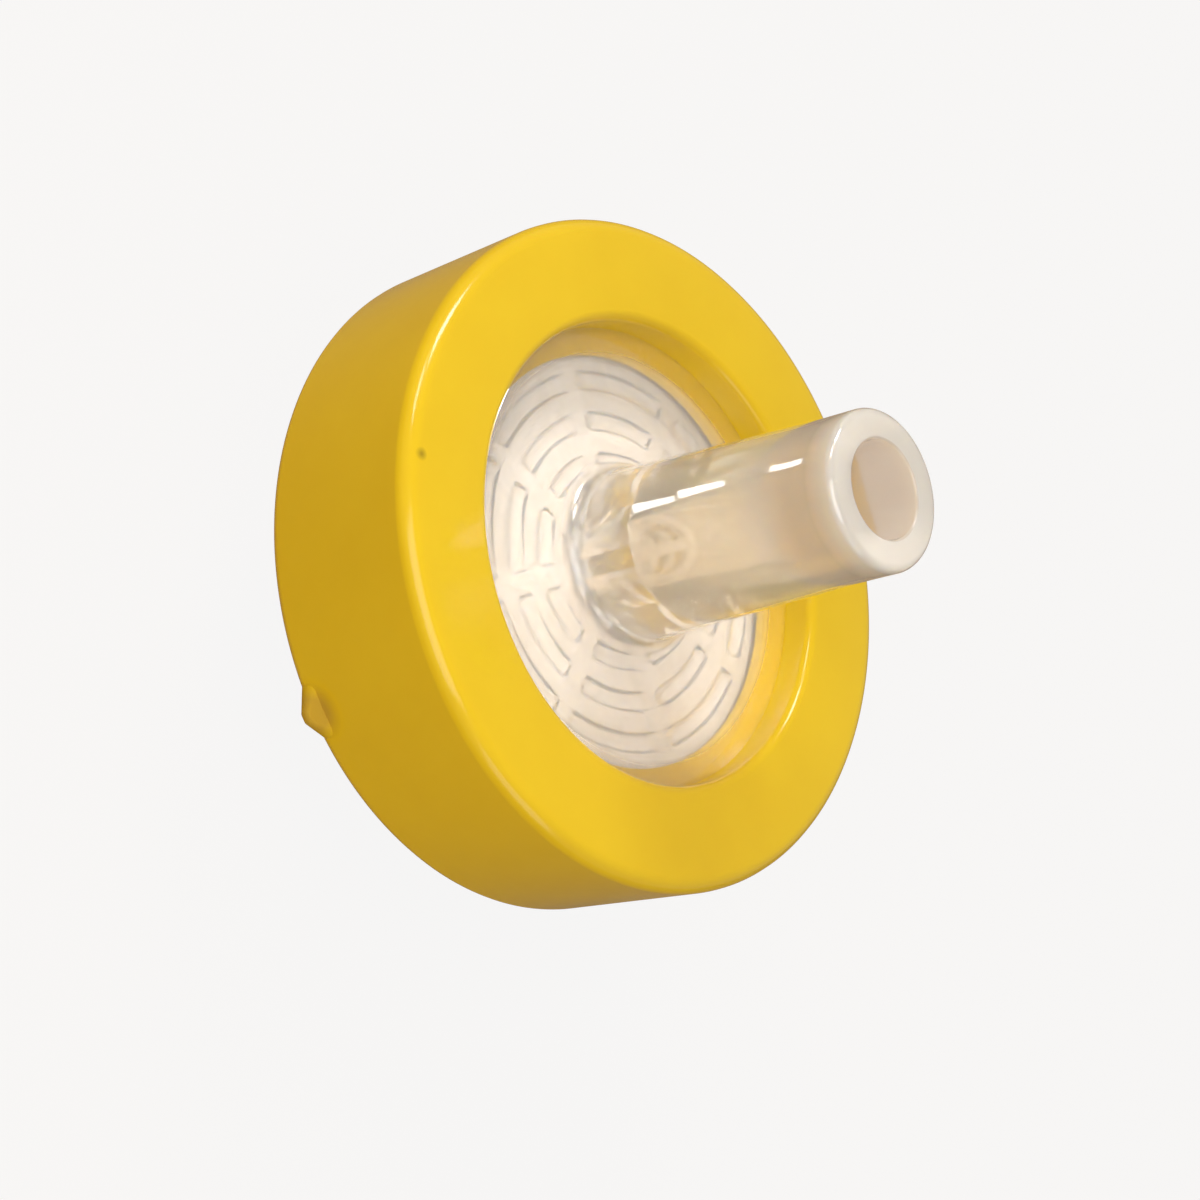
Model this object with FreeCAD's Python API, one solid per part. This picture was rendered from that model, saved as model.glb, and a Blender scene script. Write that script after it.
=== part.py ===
import FreeCAD, Part
import math
import os

# Small round membrane filter with a female inlet socket below and a male outlet nozzle above.
# Millimetres. +Z runs along the flow axis from the inlet hub's flat end (z = 0) to the nozzle tip.

V = FreeCAD.Vector
os.makedirs("parts", exist_ok=True)

# ---- driving dimensions -------------------------------------------------------------------
# heights, each measured from the one before it
HUB_REACH = 5.30            # inlet hub beyond the ring's back face
RING_T = 5.00               # ring thickness
NOZZLE_REACH = 7.10         # nozzle beyond the ring's front face
Z_BACK = HUB_REACH
Z_FACE = Z_BACK + RING_T
Z_TIP = Z_FACE + NOZZLE_REACH

# overmoulded ring
RING_R_FRONT, RING_R_BACK = 8.50, 8.33      # draft on the outside
EDGE_FRONT, EDGE_BACK = 0.42, 0.35          # outer edge roundings
MOUTH_R, MOUTH_ROUND = 6.12, 0.26           # front hole where its rounding starts
WALL_R = 5.85                               # front hole where the window's face meets it
LIP_R = 5.25                                # front hole at the bottom of the lip
LIP_T = 1.85                                # front lip thickness
BACK_MOUTH_R, BACK_LIP_R = 5.46, 5.05       # the same for the back hole, one straight wall
BACK_LIP_T = 1.50
SEAT_R = 7.40                               # radius of the two housing flanges inside the ring

# gate vestige on the ring's outside, a flat wedge near its back edge
GATE_AZ, GATE_Z, GATE_H = 102.0, 0.38, 0.42 # place round the ring, height of its middle, reach
GATE_W, GATE_T = 1.35, 0.50                 # width and thickness where it leaves the ring
GATE_END_W, GATE_END_T = 0.30, 0.24         # the same where it was snapped off

# window plates
WINDOW_SINK = 0.90          # outlet window's face below the ring's front face
BACK_SINK = 0.90            # inlet window's face above the ring's back face
MEMBRANE_R, MEMBRANE_T = 6.50, 0.15
MEMBRANE_SIDE_GAP = 0.05    # clearance around the membrane
MEMBRANE_SINK = 2.10        # membrane's top below the ring's front face
Z_MEM_TOP = Z_FACE - MEMBRANE_SINK
Z_MEM_BOT = Z_MEM_TOP - MEMBRANE_T
JOINT_DROP = 0.25
Z_JOINT = Z_MEM_BOT - JOINT_DROP            # where the two flanges are welded together

# ribs that carry the membrane, the same on both plates
RIB_H, RIB_W, RIB_PITCH = 0.20, 0.50, 1.05
RIB_MID_R = 4.60            # middle of the outermost rib
RIB_RINGS = 4
CHANNEL_W, CHANNELS = 0.55, 8
FIELD_R = 5.35              # radius of the ribbed field

# outlet nozzle: a straight land at the tip, then the standard 6 % taper
TAPER = 0.03                # change of radius per mm of length
TIP_R, TIP_LAND = 1.97, 1.20
NOZZLE_FOOT = 0.45          # rounding between nozzle and window
TIP_ROUND = 0.22
BORE_R, BORE_R_BOTTOM = 1.20, 1.05
BORE_FLOOR = 0.30           # bore floor above the ring's front face
PORT_R, PORT_BAR = 0.72, 0.36

# inlet hub
MOUTH_LAND_R, MOUTH_LAND = 2.20, 1.00       # straight lead-in at the socket's mouth
SOCKET_R = 2.15             # where the 6 % taper starts, behind the lead-in
SOCKET_DEPTH = 7.20
INLET_PORT_R = 0.90
HUB_R_END, HUB_R_ROOT = 2.90, 3.15
LUG_R, LUG_T, LUG_W = 3.90, 1.05, 4.20
LUG_LEAD = 5.0              # thread lead the two lugs follow
LUG_EDGE = 0.15
LUG_SINK, LUG_LIFT = 0.60, 0.12             # how far a lug reaches into the hub, and above its end

# roundings inside the mouldings, and how far shapes that cut or join reach past the face they meet
PLATE_EDGE, BORE_EDGE, FLOOR_EDGE, SOCKET_EDGE, HUB_FOOT = 0.12, 0.08, 0.15, 0.20, 0.40
OVERLAP, OVERCUT = 0.05, 0.50
GATE_SINK = 0.20


# ---- shared helpers -----------------------------------------------------------------------
def outline(corners):
    """Closed wire in the XZ plane from (r, z, rounding) corners."""
    n = len(corners)
    starts, ends, mids = [], [], []
    for i in range(n):
        r, z, f = corners[i]
        p = V(r, 0, z)
        a = V(corners[i - 1][0], 0, corners[i - 1][1]) - p
        b = V(corners[(i + 1) % n][0], 0, corners[(i + 1) % n][1]) - p
        if f <= 0:
            starts.append(p)
            ends.append(p)
            mids.append(None)
            continue
        half = a.getAngle(b) / 2.0
        reach = f / math.tan(half)
        a.normalize()
        b.normalize()
        inward = (a + b).normalize()
        centre = p + inward * (f / math.sin(half))
        starts.append(p + a * reach)
        ends.append(p + b * reach)
        mids.append(centre - inward * f)
    edges = []
    for i in range(n):
        if mids[i] is not None:
            edges.append(Part.Arc(starts[i], mids[i], ends[i]).toShape())
        nxt = starts[(i + 1) % n]
        if ends[i].distanceToPoint(nxt) > 1e-6:
            edges.append(Part.makeLine(ends[i], nxt))
    return Part.Wire(edges)


def turned(corners):
    """Solid of revolution about Z."""
    face = Part.Face(outline(corners))
    return face.revolve(V(0, 0, 0), V(0, 0, 1), 360)


def rib_field(z_low, z_high):
    """Concentric ribs cut into arcs by straight channels through the middle."""
    height = z_high - z_low
    rings = []
    for k in range(RIB_RINGS):
        mid = RIB_MID_R - k * RIB_PITCH
        ring = Part.makeCylinder(mid + RIB_W / 2, height, V(0, 0, z_low))
        rings.append(ring.cut(Part.makeCylinder(mid - RIB_W / 2, height, V(0, 0, z_low))))
    bars = []
    for k in range(CHANNELS // 2):
        bar = Part.makeBox(2 * FIELD_R, CHANNEL_W, height, V(-FIELD_R, -CHANNEL_W / 2, z_low))
        bar.rotate(V(0, 0, 0), V(0, 0, 1), k * 360.0 / CHANNELS)
        bars.append(bar)
    channels = bars[0].multiFuse(bars[1:])
    return Part.makeCompound(rings).cut(channels)


def back_hole_r(z):
    """Radius of the ring's back hole at height z, above its rounding."""
    low = Z_BACK + MOUTH_ROUND
    top = Z_BACK + BACK_LIP_T
    return BACK_LIP_R + (BACK_MOUTH_R - MOUTH_ROUND - BACK_LIP_R) * (top - z) / (top - low)


def one_solid(shape):
    """The shape's single solid, without seams left by the booleans."""
    shape = shape.removeSplitter()
    if len(shape.Solids) != 1:
        raise RuntimeError("expected one solid, got %d" % len(shape.Solids))
    return shape.Solids[0]


# ---- overmoulded ring ---------------------------------------------------------------------
def gate_stub():
    """Flat wedge left where the runner was snapped off."""
    grow = GATE_SINK / GATE_H
    sections = []
    for x, w, t in ((-GATE_SINK, GATE_W + grow * (GATE_W - GATE_END_W), GATE_T + grow * (GATE_T - GATE_END_T)),
                    (GATE_H, GATE_END_W, GATE_END_T)):
        corners = [V(x, w / 2, t / 2), V(x, -w / 2, t / 2), V(x, -w / 2, -t / 2), V(x, w / 2, -t / 2)]
        sections.append(Part.makePolygon(corners + corners[:1]))
    stub = Part.makeLoft(sections, True, True)
    stub.translate(V(RING_R_BACK, 0, Z_BACK + GATE_Z))
    stub.rotate(V(0, 0, 0), V(0, 0, 1), GATE_AZ)
    return stub


def overmould_ring():
    z_window = Z_FACE - WINDOW_SINK
    z_lip = Z_FACE - LIP_T
    z_back_lip = Z_BACK + BACK_LIP_T
    body = turned([
        (RING_R_BACK, Z_BACK, EDGE_BACK),
        (RING_R_FRONT, Z_FACE, EDGE_FRONT),
        (MOUTH_R - MOUTH_ROUND, Z_FACE, MOUTH_ROUND),
        (WALL_R, z_window, 0),
        (LIP_R, z_lip, 0),
        (SEAT_R, z_lip, 0),
        (SEAT_R, z_back_lip, 0),
        (BACK_LIP_R, z_back_lip, 0),
        (back_hole_r(Z_BACK), Z_BACK, MOUTH_ROUND),
    ])
    return one_solid(body.fuse(gate_stub()))


# ---- outlet housing: window plate, ribs and nozzle in one moulding ---------------------------
def outlet_housing():
    z_window = Z_FACE - WINDOW_SINK
    z_lip = Z_FACE - LIP_T
    z_root = Z_MEM_TOP + RIB_H
    z_floor = Z_FACE + BORE_FLOOR
    z_land = Z_TIP - TIP_LAND
    rim = MEMBRANE_R + MEMBRANE_SIDE_GAP
    body = turned([
        (0, z_root, 0),
        (FIELD_R, z_root, PLATE_EDGE),
        (FIELD_R, Z_MEM_TOP, 0),
        (rim, Z_MEM_TOP, 0),
        (rim, Z_JOINT, 0),
        (SEAT_R, Z_JOINT, 0),
        (SEAT_R, z_lip, 0),
        (LIP_R, z_lip, 0),
        (WALL_R, z_window, 0),
        (TIP_R + TAPER * (z_land - z_window), z_window, NOZZLE_FOOT),
        (TIP_R, z_land, 0),
        (TIP_R, Z_TIP, TIP_ROUND),
        (BORE_R, Z_TIP, BORE_EDGE),
        (BORE_R_BOTTOM, z_floor, FLOOR_EDGE),
        (0, z_floor, 0),
    ])
    body = body.fuse(rib_field(Z_MEM_TOP, z_root + OVERLAP))
    # the port below the bore: two D-shaped holes with a bar between them
    depth = z_floor - Z_MEM_TOP + 2 * OVERCUT
    port = Part.makeCylinder(PORT_R, depth, V(0, 0, Z_MEM_TOP - OVERCUT))
    bar = Part.makeBox(PORT_BAR, 4 * PORT_R, depth, V(-PORT_BAR / 2, -2 * PORT_R, Z_MEM_TOP - OVERCUT))
    return one_solid(body.cut(port.cut(bar)))


# ---- filter membrane ----------------------------------------------------------------------
def filter_membrane():
    return Part.makeCylinder(MEMBRANE_R, MEMBRANE_T, V(0, 0, Z_MEM_BOT))


# ---- inlet housing: back plate, ribs, socket hub and lugs in one moulding --------------------
def lug(side):
    """One thread lug, a slice of ring that follows the thread's lead."""
    pitch_angle = math.degrees(math.atan2(LUG_LEAD, 2 * math.pi * LUG_R))
    drop = LUG_T * 0.5
    slab = Part.makeBox(LUG_R, LUG_W, LUG_T, V(HUB_R_END - LUG_SINK, -LUG_W / 2, -LUG_T / 2))
    slab.rotate(V(0, 0, 0), V(1, 0, 0), pitch_angle)
    slab.translate(V(0, 0, drop + LUG_LIFT))
    slab = slab.common(Part.makeCylinder(LUG_R, HUB_REACH))
    slab.rotate(V(0, 0, 0), V(0, 0, 1), side)
    return slab


def inlet_housing():
    z_window = Z_BACK + BACK_SINK
    z_lip = Z_BACK + BACK_LIP_T
    z_root = Z_MEM_BOT - RIB_H
    rim = MEMBRANE_R + MEMBRANE_SIDE_GAP
    body = turned([
        (0, z_root, 0),
        (0, 0, 0),
        (HUB_R_END, 0, LUG_EDGE),
        (HUB_R_ROOT, z_window, HUB_FOOT),
        (back_hole_r(z_window), z_window, 0),
        (BACK_LIP_R, z_lip, 0),
        (SEAT_R, z_lip, 0),
        (SEAT_R, Z_JOINT, 0),
        (rim, Z_JOINT, 0),
        (rim, Z_MEM_BOT, 0),
        (FIELD_R, Z_MEM_BOT, 0),
        (FIELD_R, z_root, PLATE_EDGE),
    ])
    body = body.fuse(rib_field(z_root - OVERLAP, Z_MEM_BOT))
    body = body.fuse([lug(0), lug(180)])
    socket = turned([
        (0, -OVERCUT, 0),
        (MOUTH_LAND_R, -OVERCUT, 0),
        (MOUTH_LAND_R, MOUTH_LAND, 0),
        (SOCKET_R, MOUTH_LAND, 0),
        (SOCKET_R - TAPER * (SOCKET_DEPTH - MOUTH_LAND), SOCKET_DEPTH, SOCKET_EDGE),
        (0, SOCKET_DEPTH, 0),
    ])
    port = Part.makeCylinder(INLET_PORT_R, Z_MEM_BOT - SOCKET_DEPTH + 2 * OVERCUT,
                             V(0, 0, SOCKET_DEPTH - OVERCUT))
    return one_solid(body.cut(socket).cut(port))


# ---- write the nodes ----------------------------------------------------------------------
NODES = {
    "overmould_ring": overmould_ring(),
    "outlet_housing": outlet_housing(),
    "filter_membrane": filter_membrane(),
    "inlet_housing": inlet_housing(),
}
for name, shape in NODES.items():
    if not shape.isValid():
        raise RuntimeError(name + " is not valid")
    shape.exportStep("parts/" + name + ".step")
    box = shape.BoundBox
    print("%-16s volume %8.2f  x %.2f..%.2f  y %.2f..%.2f  z %.2f..%.2f" % (
        name, shape.Volume, box.XMin, box.XMax, box.YMin, box.YMax, box.ZMin, box.ZMax))
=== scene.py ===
import math

import bmesh
import bpy
from mathutils import Matrix, Vector


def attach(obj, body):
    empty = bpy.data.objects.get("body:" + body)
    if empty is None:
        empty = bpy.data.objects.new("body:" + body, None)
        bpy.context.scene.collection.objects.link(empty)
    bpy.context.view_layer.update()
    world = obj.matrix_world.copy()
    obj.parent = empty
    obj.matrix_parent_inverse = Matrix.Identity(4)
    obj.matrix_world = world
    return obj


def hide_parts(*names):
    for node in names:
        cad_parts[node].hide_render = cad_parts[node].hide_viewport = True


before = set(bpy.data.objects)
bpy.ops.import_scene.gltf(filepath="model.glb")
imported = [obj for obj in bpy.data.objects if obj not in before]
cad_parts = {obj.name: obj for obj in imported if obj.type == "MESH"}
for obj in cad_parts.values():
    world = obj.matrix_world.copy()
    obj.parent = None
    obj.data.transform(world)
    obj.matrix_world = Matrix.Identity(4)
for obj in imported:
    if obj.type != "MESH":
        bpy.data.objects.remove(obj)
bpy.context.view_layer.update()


# ---- Inlet housing ----------------------------------------------------------------------------
# The lower clear half: a thick round plate with the socket hub under it and arc ribs on top.
# Injection-moulded natural polypropylene, polished in the mould, so it is clear with a slight
# haze. Two short thread lugs stand out of the hub's end, where a syringe screws on.

MM = 0.001                          # metres in a millimetre, in which all sizes below are given
HUB_REACH = 5.30                    # hub beyond the ring's back face
HUB_END_R, HUB_ROOT_R, HUB_EDGE = 2.90, 3.15, 0.15
HUB_FOOT = 0.40                     # rounding where the hub meets the plate
LEAD_IN_R, LEAD_IN = 2.20, 1.00     # straight mouth of the socket
LEAD_IN_EDGE, SOCKET_EDGE = 0.05, 0.20      # roundings at the socket's mouth and floor
SOCKET_R, SOCKET_DEPTH = 2.15, 7.20
TAPER = 0.03                        # change of radius per mm, a 6 % taper
INLET_PORT_R = 0.90
BACK_WINDOW_Z = HUB_REACH + 0.90    # the plate's outer face, sunk in the ring's back hole
BACK_LIP_Z = HUB_REACH + 1.50       # where the ring's back lip grips the flange
BACK_LIP_R, BACK_WINDOW_R = 5.05, 5.12
FLANGE_R = 7.40
MEMBRANE_Z, MEMBRANE_T, MEMBRANE_R = 8.05, 0.15, 6.50
WELD_Z = MEMBRANE_Z - 0.25          # where the two flanges are welded together
POCKET_R = MEMBRANE_R + 0.05        # pocket that locates the membrane
RIB_FIELD_R, PLATE_EDGE = 5.35, 0.12
RIB_H, RIB_W, RIB_PITCH, RIB_RINGS = 0.20, 0.50, 1.05, 4
OUTER_RIB_R = 4.60                  # middle of the outermost ring of ribs
CHANNEL_W, CHANNELS = 0.55, 8       # straight channels that cut the rings into arcs
BOND = 0.012                        # how far the clear plastic reaches into the ring moulded on it
OVERCUT = 0.20                      # how far a port's cutter stands past the faces it opens
LUG_R, LUG_T, LUG_HALF_ANGLE = 3.90, 1.05, 31.0
LUG_ROOT_R, LUG_LIFT = 2.45, 0.12   # where a lug starts inside the hub, and above the hub's end
LUG_LEAD = 5.0                      # thread lead that the lugs follow
SOFT_EDGE = 32                      # edges that turn by fewer degrees are shaded as round


def linear(code):
    """Linear RGBA of an sRGB hex colour."""
    parts = [int(code[i:i + 2], 16) / 255 for i in (1, 3, 5)]
    return [c / 12.92 if c <= 0.04045 else ((c + 0.055) / 1.055) ** 2.4 for c in parts] + [1.0]


def rounded(corners, steps=7):
    """Outline points from (x, y, rounding) corners, with each rounding drawn as an arc."""
    points = []
    count = len(corners)
    for i, (x, y, radius) in enumerate(corners):
        here = Vector((x, y))
        if radius <= 0:
            points.append(here)
            continue
        before = (Vector(corners[i - 1][:2]) - here).normalized()
        after = (Vector(corners[(i + 1) % count][:2]) - here).normalized()
        half = before.angle(after) / 2
        reach = radius / math.tan(half)
        middle = here + (before + after).normalized() * (radius / math.sin(half))
        start = here + before * reach - middle
        sweep = start.angle_signed(here + after * reach - middle)
        for k in range(steps + 1):
            points.append(middle + Matrix.Rotation(-sweep * k / steps, 2) @ start)
    return points


def finished(name, bm):
    """Mesh made of what was drawn, with its faces turned outwards."""
    bmesh.ops.recalc_face_normals(bm, faces=bm.faces)
    mesh = bpy.data.meshes.new(name)
    bm.to_mesh(mesh)
    bm.free()
    return mesh


def loop_mesh(name, loops):
    """Closed mesh skinned over equal loops of points, in mm, and capped at both ends."""
    bm = bmesh.new()
    rows = [[bm.verts.new(Vector(p) * MM) for p in loop] for loop in loops]
    count = len(loops[0])
    for low, high in zip(rows, rows[1:]):
        for i in range(count):
            j = (i + 1) % count
            bm.faces.new((low[i], low[j], high[j], high[i]))
    bm.faces.new(rows[0][::-1])
    bm.faces.new(rows[-1])
    return finished(name, bm)


def turned(name, corners, segments=192):
    """Closed mesh turned about the flow axis from (r, z, rounding) corners."""
    profile = rounded(corners)
    bm = bmesh.new()
    rows = []
    for r, z in profile:
        turns = segments if r > 0 else 1        # a point on the axis stays one point
        angles = [2 * math.pi * k / segments for k in range(turns)]
        rows.append([bm.verts.new((r * math.cos(t) * MM, r * math.sin(t) * MM, z * MM)) for t in angles])
    for low, high in zip(rows, rows[1:] + rows[:1]):
        for k in range(segments):
            n = (k + 1) % segments
            around = [low[k % len(low)], low[n % len(low)], high[n % len(high)], high[k % len(high)]]
            corner_points = list(dict.fromkeys(around))
            if len(corner_points) > 2:
                bm.faces.new(corner_points)
    return finished(name, bm)


def placed(name, mesh):
    """Object of that mesh in the scene."""
    piece = bpy.data.objects.new(name, mesh)
    bpy.context.scene.collection.objects.link(piece)
    return piece


def machined(piece, cuts):
    """Joins or cuts other meshes into the piece, so that it is one moulding."""
    tools = []
    for mode, mesh in cuts:
        tool = placed(mesh.name, mesh)
        cut = piece.modifiers.new(mesh.name, "BOOLEAN")
        cut.operation, cut.solver, cut.object = mode, "MANIFOLD", tool
        tools.append(tool)
    depsgraph = bpy.context.evaluated_depsgraph_get()
    done = bpy.data.meshes.new_from_object(piece.evaluated_get(depsgraph))
    done.materials.clear()
    piece.modifiers.clear()
    piece.data = done
    for tool in tools:
        bpy.data.objects.remove(tool)


def smooth(piece):
    """Soft shading over the edges that turn little, with flats kept flat."""
    bm = bmesh.new()
    bm.from_mesh(piece.data)
    for face in bm.faces:
        face.smooth = True
    for edge in bm.edges:
        edge.smooth = edge.is_manifold and edge.calc_face_angle(0) < math.radians(SOFT_EDGE)
    bm.to_mesh(piece.data)
    bm.free()
    weigh = piece.modifiers.new("flats stay flat", "WEIGHTED_NORMAL")
    weigh.keep_sharp = True


def arc_rib(mid_r, start, end, z_foot, z_crest):
    """One arc rib between two channels, with rounded corners and a soft crest, as loops of points.
    Each level is a height and how far the rib's sides stand in from their full width there."""
    up = 1 if z_crest > z_foot else -1
    levels = [(z_foot - 0.04 * up, -0.03), (z_foot + 0.05 * up, 0.0),
              (z_crest - 0.07 * up, 0.03), (z_crest - 0.02 * up, 0.06), (z_crest, 0.12)]
    last, corner_round = 10, 0.09
    loops = []
    for z, inset in levels:
        inner, outer = mid_r - RIB_W / 2 + inset, mid_r + RIB_W / 2 - inset
        half = CHANNEL_W / 2 + inset
        corners = []
        for r, order in ((outer, 1), (inner, -1)):
            a0, a1 = start + math.asin(half / r), end - math.asin(half / r)
            angles = [a0 + (a1 - a0) * k / last for k in range(last + 1)][::order]
            for k, angle in enumerate(angles):
                soft = corner_round if k in (0, last) else 0
                corners.append((r * math.cos(angle), r * math.sin(angle), soft))
        loops.append([(p.x, p.y, z) for p in rounded(corners, 3)])
    return loops


def rib_field(name, z_foot, z_crest):
    """All the arc ribs of one plate in one mesh."""
    bm = bmesh.new()
    step = 2 * math.pi / CHANNELS
    for ring in range(RIB_RINGS):
        for k in range(CHANNELS):
            part = loop_mesh(name, arc_rib(OUTER_RIB_R - ring * RIB_PITCH, k * step, (k + 1) * step,
                                           z_foot, z_crest))
            bm.from_mesh(part)
            bpy.data.meshes.remove(part)
    mesh = bpy.data.meshes.new(name)
    bm.to_mesh(mesh)
    bm.free()
    return mesh


def thread_lug(name, facing):
    """One lug swept along the thread's lead, thinner towards both ends."""
    steps, thinning, crest_round = 14, 0.22, 0.12
    low_slope, high_slope = 0.10, 0.16      # how far its two flanks lean in at the crest
    loops = []
    for k in range(steps + 1):
        t = 2 * k / steps - 1
        angle = math.radians(facing + t * LUG_HALF_ANGLE)
        rise = LUG_LEAD * math.radians(t * LUG_HALF_ANGLE) / (2 * math.pi)
        fade = 1 - thinning * abs(t) ** 6
        low = max(LUG_LIFT / 2, LUG_LIFT + rise)
        high = LUG_LIFT + LUG_T + rise
        crest = HUB_END_R + (LUG_R - HUB_END_R) * fade
        section = rounded([(LUG_ROOT_R, low, 0), (crest, low + low_slope, crest_round),
                           (crest, high - high_slope, crest_round), (LUG_ROOT_R, high, 0)], 4)
        loops.append([(p.x * math.cos(angle), p.x * math.sin(angle), p.y) for p in section])
    return loop_mesh(name, loops)


def add(tree, kind, settings=None, links=None):
    """Node of that kind, with its sockets or properties set and linked from other nodes."""
    node = tree.nodes.new(kind)
    for key, value in (settings or {}).items():
        if isinstance(key, int) or key in node.inputs:
            node.inputs[key].default_value = value
        else:
            setattr(node, key, value)
    for key, source in (links or {}).items():
        tree.links.new(source, node.inputs[key])
    return node


def new_material(name):
    """Empty node material and its tree."""
    material = bpy.data.materials.new(name)
    material.use_nodes = True
    material.node_tree.nodes.clear()
    return material, material.node_tree


# Both housings are the same plastic, so these heights and radii of the upper one are needed here.
RING_T, NOZZLE_REACH = 5.00, 7.10
FACE_Z = HUB_REACH + RING_T         # the ring's front face
TIP_Z = FACE_Z + NOZZLE_REACH
WINDOW_Z = FACE_Z - 0.90            # the window's face, sunk in the ring's front hole
WALL_R, LIP_R = 5.85, 5.25          # the plate's edge narrows downwards, so the ring locks on it
BORE_R = 1.20
RIPPLE, GRAIN, CLOUD = 1.5385, 0.1923, 2.381    # width of each pattern in the plastic


def clear_polypropylene():
    """Natural polypropylene, moulded against polished steel: clear, faintly milky and warm. The
    plates have soft ripples from the flow, cloudy patches and a fine grain that blurs what lies
    behind them. The nozzle is glossier and milkier towards its tip. Inside the bore's end its wall
    is tinted darker and made less clear, a painted shade where little light reaches."""
    material, tree = new_material("clear moulded polypropylene")
    place = add(tree, "ShaderNodeTexCoord").outputs["Object"]
    height = add(tree, "ShaderNodeSeparateXYZ", None, {"Vector": place}).outputs["Z"]
    flat = add(tree, "ShaderNodeVectorMath", {"operation": "MULTIPLY", 1: (1, 1, 0)}, {0: place})
    radius = add(tree, "ShaderNodeVectorMath", {"operation": "LENGTH"}, {0: flat.outputs["Vector"]})
    nozzle = add(tree, "ShaderNodeMapRange",
                 {"From Min": MM * (WINDOW_Z + 0.01), "From Max": MM * (WINDOW_Z + 0.60)},
                 {"Value": height})

    ripple = add(tree, "ShaderNodeTexNoise", {"Scale": 1000 / RIPPLE, "Detail": 2.0}, {"Vector": place})
    skin = add(tree, "ShaderNodeBump", {"Strength": 0.10, "Distance": 0.06 * MM},
               {"Height": ripple.outputs["Fac"]})
    grain = add(tree, "ShaderNodeTexNoise", {"Scale": 1000 / GRAIN, "Detail": 3.0}, {"Vector": place})
    haze = add(tree, "ShaderNodeMapRange", {"To Min": 0.14, "To Max": 0.19},
               {"Value": grain.outputs["Fac"]})
    finish = add(tree, "ShaderNodeMapRange",
                 {"From Min": MM * WINDOW_Z, "From Max": MM * (WINDOW_Z + 1.0), "To Max": 0.05},
                 {"Value": height, "To Min": haze.outputs["Result"]})

    # How much light goes straight through: the cloudy plate, its clearer rim over the ring's lip,
    # the nozzle, and the bore's wall near the tip, made less clear there as part of a painted shade.
    cloud = add(tree, "ShaderNodeTexNoise", {"Scale": 1000 / CLOUD, "Detail": 3.0, "Distortion": 0.6},
                {"Vector": place})
    patch = add(tree, "ShaderNodeMapRange",
                {"From Min": 0.35, "From Max": 0.65, "To Min": 0.76, "To Max": 0.82},
                {"Value": cloud.outputs["Fac"]})
    plate = add(tree, "ShaderNodeMapRange",
                {"From Min": MM * (LIP_R - 0.15), "From Max": MM * (LIP_R + 0.05), "To Max": 0.935},
                {"Value": radius.outputs["Value"], "To Min": patch.outputs["Result"]})
    tube = add(tree, "ShaderNodeMapRange",
               {"From Min": MM * (TIP_Z - 0.8), "From Max": MM * (TIP_Z - 0.1),
                "To Min": 0.77, "To Max": 0.45},
               {"Value": height})
    clarity = add(tree, "ShaderNodeMix", {"data_type": "FLOAT"},
                  {"Factor": nozzle.outputs["Result"], "A": plate.outputs["Result"],
                   "B": tube.outputs["Result"]})
    upper = add(tree, "ShaderNodeMapRange",
                {"From Min": MM * (TIP_Z - 2.6), "From Max": MM * (TIP_Z - 1.8)}, {"Value": height})
    inside = add(tree, "ShaderNodeMath", {"operation": "LESS_THAN", 1: MM * (BORE_R + 0.05)},
                 {0: radius.outputs["Value"]})
    bore = add(tree, "ShaderNodeMath", {"operation": "MULTIPLY"},
               {0: upper.outputs["Result"], 1: inside.outputs["Value"]})
    clarity_with_bore_shade = add(tree, "ShaderNodeMix", {"data_type": "FLOAT", "B": 0.35},
                 {"Factor": bore.outputs["Value"], "A": clarity.outputs["Result"]})

    milk = add(tree, "ShaderNodeMix",
               {"data_type": "RGBA", "A": linear("#FDFAF5"), "B": linear("#FFF6EC")},
               {"Factor": nozzle.outputs["Result"]})
    # Painted shade: near the tip the bore's wall is tinted darker, where little light reaches down the
    # bore.
    milk_with_bore_shade = add(tree, "ShaderNodeMix", {"data_type": "RGBA", "B": linear("#DFD2C2")},
               {"Factor": bore.outputs["Value"], "A": milk.outputs["Result"]})
    body = add(tree, "ShaderNodeBsdfPrincipled",
               {"IOR": 1.49, "Subsurface Weight": 1.0, "Subsurface Scale": 0.8 * MM,
                "Subsurface Radius": (1.0, 0.9, 0.75),
                "Coat Weight": 1.0, "Coat Roughness": 0.06, "Coat IOR": 1.49},
               {"Base Color": milk_with_bore_shade.outputs["Result"], "Roughness": finish.outputs["Result"],
                "Normal": skin.outputs["Normal"], "Transmission Weight": clarity_with_bore_shade.outputs["Result"]})

    # Light from the lamps passes a thin plate nearly whole and loses more in the nozzle.
    veil = add(tree, "ShaderNodeMix",
               {"data_type": "RGBA", "A": linear("#F8F2EA"), "B": linear("#C4BAAD")},
               {"Factor": nozzle.outputs["Result"]})
    lamp_light = add(tree, "ShaderNodeBsdfTransparent", None, {"Color": veil.outputs["Result"]})
    seen = add(tree, "ShaderNodeLightPath")
    both = add(tree, "ShaderNodeMixShader", None,
               {0: seen.outputs["Is Shadow Ray"], 1: body.outputs["BSDF"], 2: lamp_light.outputs["BSDF"]})
    add(tree, "ShaderNodeOutputMaterial", None, {"Surface": both.outputs["Shader"]})
    return material


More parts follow.
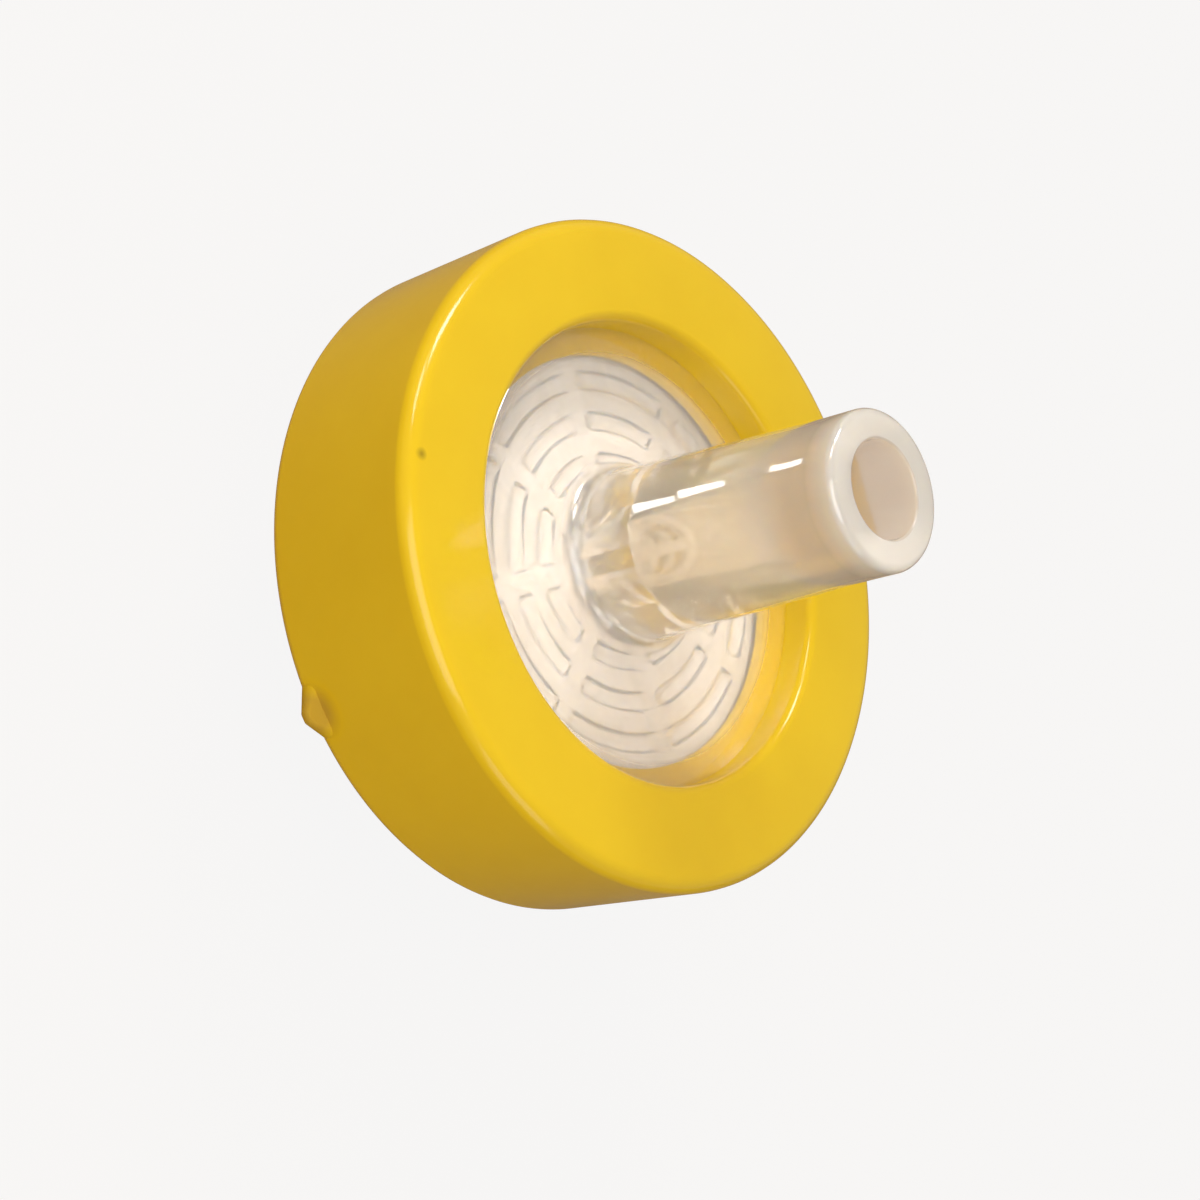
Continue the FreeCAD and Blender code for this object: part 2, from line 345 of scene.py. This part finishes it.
clear_plastic = clear_polypropylene()
inlet_rib_foot = MEMBRANE_Z - RIB_H
inlet = placed("inlet_moulding", turned("inlet_moulding", [
    (0, inlet_rib_foot, 0),
    (0, SOCKET_DEPTH, 0),
    (SOCKET_R - TAPER * (SOCKET_DEPTH - LEAD_IN), SOCKET_DEPTH, SOCKET_EDGE),
    (SOCKET_R, LEAD_IN, 0),
    (LEAD_IN_R, LEAD_IN, 0),
    (LEAD_IN_R, 0, LEAD_IN_EDGE),
    (HUB_END_R, 0, HUB_EDGE),
    (HUB_ROOT_R, BACK_WINDOW_Z, HUB_FOOT),
    (BACK_WINDOW_R + BOND, BACK_WINDOW_Z, 0),
    (BACK_LIP_R + BOND, BACK_LIP_Z - BOND, 0),
    (FLANGE_R + BOND, BACK_LIP_Z - BOND, 0),
    (FLANGE_R + BOND, WELD_Z, 0),
    (POCKET_R, WELD_Z, 0),
    (POCKET_R, MEMBRANE_Z, 0),
    (RIB_FIELD_R, MEMBRANE_Z, 0),
    (RIB_FIELD_R, inlet_rib_foot, PLATE_EDGE),
]))
inlet_port = turned("inlet_port", [
    (0, SOCKET_DEPTH - 2 * OVERCUT, 0), (INLET_PORT_R, SOCKET_DEPTH - 2 * OVERCUT, 0),
    (INLET_PORT_R, MEMBRANE_Z + OVERCUT, 0), (0, MEMBRANE_Z + OVERCUT, 0)], 64)
machined(inlet, [
    ("UNION", rib_field("inlet_ribs", inlet_rib_foot, MEMBRANE_Z)),
    ("UNION", thread_lug("lug_right", 0)),
    ("UNION", thread_lug("lug_left", 180)),
    ("DIFFERENCE", inlet_port)])
smooth(inlet)
inlet.data.materials.append(clear_plastic)
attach(inlet, "root")
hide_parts("inlet_housing")


# ---- Filter membrane --------------------------------------------------------------------------
# The white disc that does the filtering, a microporous plastic sheet about 0.15 mm thick.
# It is punched from a sheet and trapped between the two housings, so it lies dead flat.

MEMBRANE_EDGE = 0.03
MEMBRANE_AIR = 0.01                 # room above and below it, so that no two faces coincide
FLEECE = 0.25


def porous_sheet():
    """Cast nylon sheet, opaque and matt: a bright white with a fine fleecy mottle. The real pores
    are far too fine to show, so the mottle is drawn as coarse as the render can show it."""
    material, tree = new_material("microporous nylon sheet")
    place = add(tree, "ShaderNodeTexCoord").outputs["Object"]
    fleece = add(tree, "ShaderNodeTexNoise", {"Scale": 1000 / FLEECE, "Detail": 5.0, "Roughness": 0.6},
                 {"Vector": place})
    tone = add(tree, "ShaderNodeMix",
               {"data_type": "RGBA", "A": linear("#F1EBE4"), "B": linear("#FBF8F4")},
               {"Factor": fleece.outputs["Fac"]})
    relief = add(tree, "ShaderNodeBump", {"Strength": 0.25, "Distance": 0.02 * MM},
                 {"Height": fleece.outputs["Fac"]})
    body = add(tree, "ShaderNodeBsdfPrincipled", {"Roughness": 0.9, "IOR": 1.45},
               {"Base Color": tone.outputs["Result"], "Normal": relief.outputs["Normal"]})
    add(tree, "ShaderNodeOutputMaterial", None, {"Surface": body.outputs["BSDF"]})
    return material


membrane = placed("membrane_disc", turned("membrane_disc", [
    (0, MEMBRANE_Z + MEMBRANE_AIR, 0), (MEMBRANE_R, MEMBRANE_Z + MEMBRANE_AIR, MEMBRANE_EDGE),
    (MEMBRANE_R, MEMBRANE_Z + MEMBRANE_T - MEMBRANE_AIR, MEMBRANE_EDGE),
    (0, MEMBRANE_Z + MEMBRANE_T - MEMBRANE_AIR, 0)]))
smooth(membrane)
membrane.data.materials.append(porous_sheet())
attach(membrane, "root")
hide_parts("filter_membrane")


# ---- Outlet housing ---------------------------------------------------------------------------
# The upper clear half: the round window, the arc ribs under it that hold the membrane flat, and
# the tapered nozzle, all one moulding of the same natural polypropylene as the inlet half.
# A bar across the port under the nozzle's bore keeps the membrane from bulging into it.

LIP_Z = FACE_Z - 1.85               # where the ring's front lip grips the flange
TIP_R, TIP_LAND, TIP_ROUND = 1.97, 1.20, 0.22
NOZZLE_FOOT = 0.45                  # rounding where the nozzle meets the window
BORE_BOTTOM_R, BORE_FLOOR_Z = 1.05, FACE_Z + 0.30
BORE_EDGE, FLOOR_EDGE = 0.08, 0.15  # roundings at the bore's mouth and floor
PORT_R, PORT_BAR = 0.72, 0.36

outlet_rib_foot = MEMBRANE_Z + MEMBRANE_T + RIB_H
outlet_rib_crest = MEMBRANE_Z + MEMBRANE_T
outlet = placed("outlet_moulding", turned("outlet_moulding", [
    (0, outlet_rib_foot, 0),
    (RIB_FIELD_R, outlet_rib_foot, PLATE_EDGE),
    (RIB_FIELD_R, outlet_rib_crest, 0),
    (POCKET_R, outlet_rib_crest, 0),
    (POCKET_R, WELD_Z, 0),
    (FLANGE_R + BOND, WELD_Z, 0),
    (FLANGE_R + BOND, LIP_Z + BOND, 0),
    (LIP_R + BOND, LIP_Z + BOND, 0),
    (WALL_R + BOND, WINDOW_Z, 0),
    (TIP_R + TAPER * (TIP_Z - TIP_LAND - WINDOW_Z), WINDOW_Z, NOZZLE_FOOT),
    (TIP_R, TIP_Z - TIP_LAND, 0),
    (TIP_R, TIP_Z, TIP_ROUND),
    (BORE_R, TIP_Z, BORE_EDGE),
    (BORE_BOTTOM_R, BORE_FLOOR_Z, FLOOR_EDGE),
    (0, BORE_FLOOR_Z, 0),
]))


def port_half(name, side):
    """One D-shaped half of the port, on one side of the bar."""
    opening = math.acos(PORT_BAR / 2 / PORT_R)
    steps = 16
    angles = [opening * (2 * k / steps - 1) for k in range(steps + 1)]
    return loop_mesh(name, [[(side * PORT_R * math.cos(t), PORT_R * math.sin(t), z) for t in angles]
                            for z in (outlet_rib_crest - OVERCUT, BORE_FLOOR_Z + OVERCUT)])


machined(outlet, [
    ("UNION", rib_field("outlet_ribs", outlet_rib_foot, outlet_rib_crest)),
    ("DIFFERENCE", port_half("port_right", 1)),
    ("DIFFERENCE", port_half("port_left", -1))])
smooth(outlet)
outlet.data.materials.append(clear_plastic)
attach(outlet, "root")
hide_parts("outlet_housing")


# ---- Overmoulded ring -------------------------------------------------------------------------
# The yellow ring that clamps the two halves together. It is injection-moulded around them in
# pigmented polypropylene, with drafted sides, softly rounded edges and a small gate stub where
# the runner was snapped off near the back edge.

RING_FRONT_R, RING_BACK_R = 8.50, 8.33
FRONT_EDGE, BACK_EDGE, MOUTH_ROUND = 0.42, 0.35, 0.26
MOUTH_R, BACK_MOUTH_R = 5.86, 5.23          # the two holes where their walls meet the faces
GATE_TURN = math.radians(102.0)             # where the gate stub stands round the ring
GATE_H = 0.42                               # how far it reaches out
GATE_Z = HUB_REACH + 0.38
GATE_W, GATE_T = 1.35, 0.50                 # the stub's width and thickness at its foot
GATE_END_W, GATE_END_T, GATE_END_ROUND = 0.30, 0.24, 0.04
SPECK = (3.42, 7.28, 10.28)                 # a tiny dark inclusion near the front edge
FLOW, PEEL = 2.0, 0.3846                    # width of the mottle and of the orange peel


def yellow_polypropylene():
    """Pigmented polypropylene off a polished mould: opaque warm yellow and glossy, with a faint
    mottle from the flow, and an orange-peel skin that softens its gleams. It is torn, dull and
    paler at the gate stub."""
    material, tree = new_material("yellow moulded polypropylene")
    place = add(tree, "ShaderNodeTexCoord").outputs["Object"]
    flow = add(tree, "ShaderNodeTexNoise", {"Scale": 1000 / FLOW, "Detail": 4.0}, {"Vector": place})
    peel = add(tree, "ShaderNodeTexNoise", {"Scale": 1000 / PEEL, "Detail": 2.0}, {"Vector": place})
    tone = add(tree, "ShaderNodeMix",
               {"data_type": "RGBA", "A": linear("#E6BE14"), "B": linear("#EEC81C")},
               {"Factor": flow.outputs["Fac"]})
    gloss = add(tree, "ShaderNodeMapRange", {"To Min": 0.12, "To Max": 0.18},
                {"Value": flow.outputs["Fac"]})
    skin = add(tree, "ShaderNodeBump", {"Strength": 0.12, "Distance": 0.02 * MM},
               {"Height": peel.outputs["Fac"]})

    speck = add(tree, "ShaderNodeVectorMath",
                {"operation": "DISTANCE", 1: [MM * along for along in SPECK]}, {0: place})
    spot = add(tree, "ShaderNodeMapRange",
               {"From Min": 0.02 * MM, "From Max": 0.18 * MM, "To Min": 0.62, "To Max": 0.0},
               {"Value": speck.outputs["Value"]})
    marked = add(tree, "ShaderNodeMix", {"data_type": "RGBA", "B": linear("#6E5608")},
                 {"Factor": spot.outputs["Result"], "A": tone.outputs["Result"]})

    stub_middle = RING_BACK_R + GATE_H / 2
    stub_place = (stub_middle * math.cos(GATE_TURN), stub_middle * math.sin(GATE_TURN), GATE_Z)
    cut = add(tree, "ShaderNodeVectorMath",
              {"operation": "DISTANCE", 1: [MM * along for along in stub_place]}, {0: place})
    torn = add(tree, "ShaderNodeMapRange",
               {"From Min": 0.4 * MM, "From Max": 0.8 * MM, "To Min": 1.0, "To Max": 0.0},
               {"Value": cut.outputs["Value"]})
    stub = add(tree, "ShaderNodeMix", {"data_type": "RGBA", "B": linear("#C6A036")},
               {"Factor": torn.outputs["Result"], "A": marked.outputs["Result"]})
    # The gloss comes back only a little way past the stub, so that its soft edges stay dull too.
    sheen = add(tree, "ShaderNodeMapRange",
                {"From Min": 0.65 * MM, "From Max": 0.95 * MM, "To Min": 0.0, "To Max": 0.4},
                {"Value": cut.outputs["Value"]})
    body = add(tree, "ShaderNodeBsdfPrincipled",
               {"IOR": 1.49, "Subsurface Weight": 0.12, "Subsurface Scale": 0.6 * MM,
                "Subsurface Radius": (1.0, 0.7, 0.2)},
               {"Base Color": stub.outputs["Result"], "Roughness": gloss.outputs["Result"],
                "Normal": skin.outputs["Normal"], "Specular IOR Level": sheen.outputs["Result"]})
    add(tree, "ShaderNodeOutputMaterial", None, {"Surface": body.outputs["BSDF"]})
    return material


ring = placed("yellow_ring", turned("yellow_ring", [
    (RING_BACK_R, HUB_REACH, BACK_EDGE),
    (RING_FRONT_R, FACE_Z, FRONT_EDGE),
    (MOUTH_R, FACE_Z, MOUTH_ROUND),
    (WALL_R, WINDOW_Z, 0),
    (LIP_R, LIP_Z, 0),
    (FLANGE_R, LIP_Z, 0),
    (FLANGE_R, BACK_LIP_Z, 0),
    (BACK_LIP_R, BACK_LIP_Z, 0),
    (BACK_MOUTH_R, HUB_REACH, MOUTH_ROUND),
], 256))

# The gate stub is skinned over sections that shrink from inside the ring to its torn end.
gate_loops = []
for share in (-0.48, 0.0, 0.35, 0.70, 0.92, 1.0):
    shrink = GATE_END_ROUND if share == 1.0 else 0.0
    wide = (GATE_W + (GATE_END_W - GATE_W) * share) / 2 - shrink
    thick = (GATE_T + (GATE_END_T - GATE_T) * share) / 2 - shrink
    soft = 0.92 * thick
    section = rounded([(wide, thick, soft), (-wide, thick, soft),
                       (-wide, -thick, soft), (wide, -thick, soft)], 6)
    gate_loops.append([(GATE_H * share, p.x, p.y) for p in section])
gate = loop_mesh("gate_stub", gate_loops)
gate.transform(Matrix.Rotation(GATE_TURN, 4, "Z") @ Matrix.Translation((MM * RING_BACK_R, 0, MM * GATE_Z)))
machined(ring, [("UNION", gate)])
smooth(ring)
ring.data.materials.append(yellow_polypropylene())
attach(ring, "root")
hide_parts("overmould_ring")


# ---- Floor and light --------------------------------------------------------------------------
# A plain white laminate table in an even white room. Two small key lamps stand on one side, a
# soft box hangs above and in front, and a weak fill lamp stands low on the other side.

FLOOR_HALF = 600.0
TABLE_Z = -0.01                     # just under the hub's end, so that the two don't coincide
TABLE_MIRRORED, ROOM_MIRRORED = 0.08, 0.3   # how white each shows in a gloss
TABLE_WHITE = 0.90                  # plain white share of the table, the rest takes the shadow
MIDDLE = Vector((0, 0, 9)) * MM     # what the lamps point at


def backdrop_share(tree, mirror):
    """How much of the plain white a ray sees: all of it when it comes straight from the eye or
    through clear plastic, and the mirror share off a gloss. Rays that have scattered off a matt
    surface carry light instead, and see none."""
    seen = add(tree, "ShaderNodeLightPath")
    mirrored = add(tree, "ShaderNodeMath", {"operation": "MULTIPLY", 1: mirror},
                   {0: seen.outputs["Is Glossy Ray"]})
    direct = add(tree, "ShaderNodeMath", {"operation": "MAXIMUM"},
                 {0: seen.outputs["Is Camera Ray"], 1: mirrored.outputs["Value"]})
    through = add(tree, "ShaderNodeMath", {"operation": "MAXIMUM"},
                  {0: direct.outputs["Value"], 1: seen.outputs["Is Transmission Ray"]})
    within = add(tree, "ShaderNodeMath", {"operation": "MAXIMUM"},
                 {0: through.outputs["Value"], 1: seen.outputs["Transmission Depth"]})
    full = add(tree, "ShaderNodeMath", {"operation": "MINIMUM", 1: 1.0}, {0: within.outputs["Value"]})
    unscattered = add(tree, "ShaderNodeMath", {"operation": "LESS_THAN", 1: 0.5},
                      {0: seen.outputs["Diffuse Depth"]})
    return add(tree, "ShaderNodeMath", {"operation": "MULTIPLY"},
               {0: full.outputs["Value"], 1: unscattered.outputs["Value"]}).outputs["Value"]


def white_table():
    """Matt white laminate that stays near white and still takes the part's soft shadow."""
    material, tree = new_material("white table")
    paint = add(tree, "ShaderNodeBsdfDiffuse", {"Color": linear("#9C8260")})
    glow = add(tree, "ShaderNodeEmission", {"Color": (1, 1, 1, 1), "Strength": 1.0})
    share = add(tree, "ShaderNodeMath", {"operation": "MULTIPLY", 1: TABLE_WHITE},
                {0: backdrop_share(tree, TABLE_MIRRORED)})
    both = add(tree, "ShaderNodeMixShader", None,
               {0: share.outputs["Value"], 1: paint.outputs["BSDF"], 2: glow.outputs["Emission"]})
    add(tree, "ShaderNodeOutputMaterial", None, {"Surface": both.outputs["Shader"]})
    return material


table_mesh = bpy.data.meshes.new("table_top")
corners = ((-1, -1), (1, -1), (1, 1), (-1, 1))
table_mesh.from_pydata([(MM * FLOOR_HALF * x, MM * FLOOR_HALF * y, MM * TABLE_Z) for x, y in corners],
                       [], [(0, 1, 2, 3)])
table_top = placed("table_top", table_mesh)
table_top.data.materials.append(white_table())

room = bpy.data.worlds.new("white room")
bpy.context.scene.world = room
room.use_nodes = True
room.node_tree.nodes.clear()
dim = add(room.node_tree, "ShaderNodeBackground", {"Color": linear("#FFF2E4"), "Strength": 0.32})
white = add(room.node_tree, "ShaderNodeBackground", {"Color": (1, 1, 1, 1), "Strength": 1.0})
sky = add(room.node_tree, "ShaderNodeMixShader", None,
          {0: backdrop_share(room.node_tree, ROOM_MIRRORED), 1: dim.outputs["Background"],
           2: white.outputs["Background"]})
add(room.node_tree, "ShaderNodeOutputWorld", None, {"Surface": sky.outputs["Shader"]})


def panel_lamp(name, place, width, height, watts):
    """Rectangular lamp at that place, with sizes in mm, shining down until it is turned."""
    lamp = bpy.data.lights.new(name, "AREA")
    lamp.shape, lamp.size, lamp.size_y, lamp.energy = "RECTANGLE", MM * width, MM * height, watts
    panel = bpy.data.objects.new(name, lamp)
    panel.location = Vector(place) * MM
    bpy.context.scene.collection.objects.link(panel)
    return panel


for name, place, width, height, watts in (("left key", (195, -41, 176), 80, 50, 0.25),
                                          ("right key", (198, 64, 166), 60, 50, 0.10),
                                          ("overhead soft box", (0, 100, 130), 120, 120, 0.138),
                                          ("low fill", (-190, 100, 110), 120, 120, 0.08)):
    panel = panel_lamp(name, place, width, height, watts)
    panel.rotation_euler = (MIDDLE - panel.location).to_track_quat("-Z", "Y").to_euler()

# Three slim lamps just clear of the ring's front give the nozzle's flank its short gleams. Each
# has its place, length, width and turn. Only glossy surfaces see them, at nine times plain white.
GLEAM_LEVEL = 9
for name, place, length, width, turn in (("window gleam", (3.62, 3.27, 10.0), 1.8, 0.7, 29.4),
                                         ("mouth gleam", (4.94, 3.54, 10.5), 1.9, 0.9, 23.4),
                                         ("edge gleam", (8.33, 4.56, 10.5), 1.6, 1.3, 21.5)):
    area = MM * length * MM * width
    slim = panel_lamp(name, place, length, width, GLEAM_LEVEL * math.pi * area)
    slim.rotation_euler = (math.pi, 0, math.radians(turn))
    slim.visible_camera = slim.visible_diffuse = slim.visible_transmission = False


# ---- Camera -----------------------------------------------------------------------------------
# Looks down at the part from 42 degrees above the table with a longish lens, turned so
# that the nozzle points to the right.

CAMERA_RISE, CAMERA_TURN, CAMERA_ROLL = (math.radians(angle) for angle in (41.70, 90.0, 75.56))
CAMERA_FAR, CAMERA_LENS, CAMERA_SENSOR = 75.06, 91.3, 36.0
CAMERA_AIM = Vector((-0.84, 1.15, 9.01))

view = bpy.data.cameras.new("camera")
view.lens, view.sensor_width, view.clip_start = CAMERA_LENS, CAMERA_SENSOR, MM
camera = bpy.data.objects.new("camera", view)
bpy.context.scene.collection.objects.link(camera)
away = Vector((math.cos(CAMERA_RISE) * math.cos(CAMERA_TURN),
               math.cos(CAMERA_RISE) * math.sin(CAMERA_TURN), math.sin(CAMERA_RISE)))
level_view = away.to_track_quat("Z", "Y").to_matrix().to_4x4()
camera.matrix_world = (Matrix.Translation((CAMERA_AIM + away * CAMERA_FAR) * MM) @ level_view
                       @ Matrix.Rotation(CAMERA_ROLL, 4, "Z"))
bpy.context.scene.camera = camera

bpy.context.scene.view_settings.view_transform = "Standard"
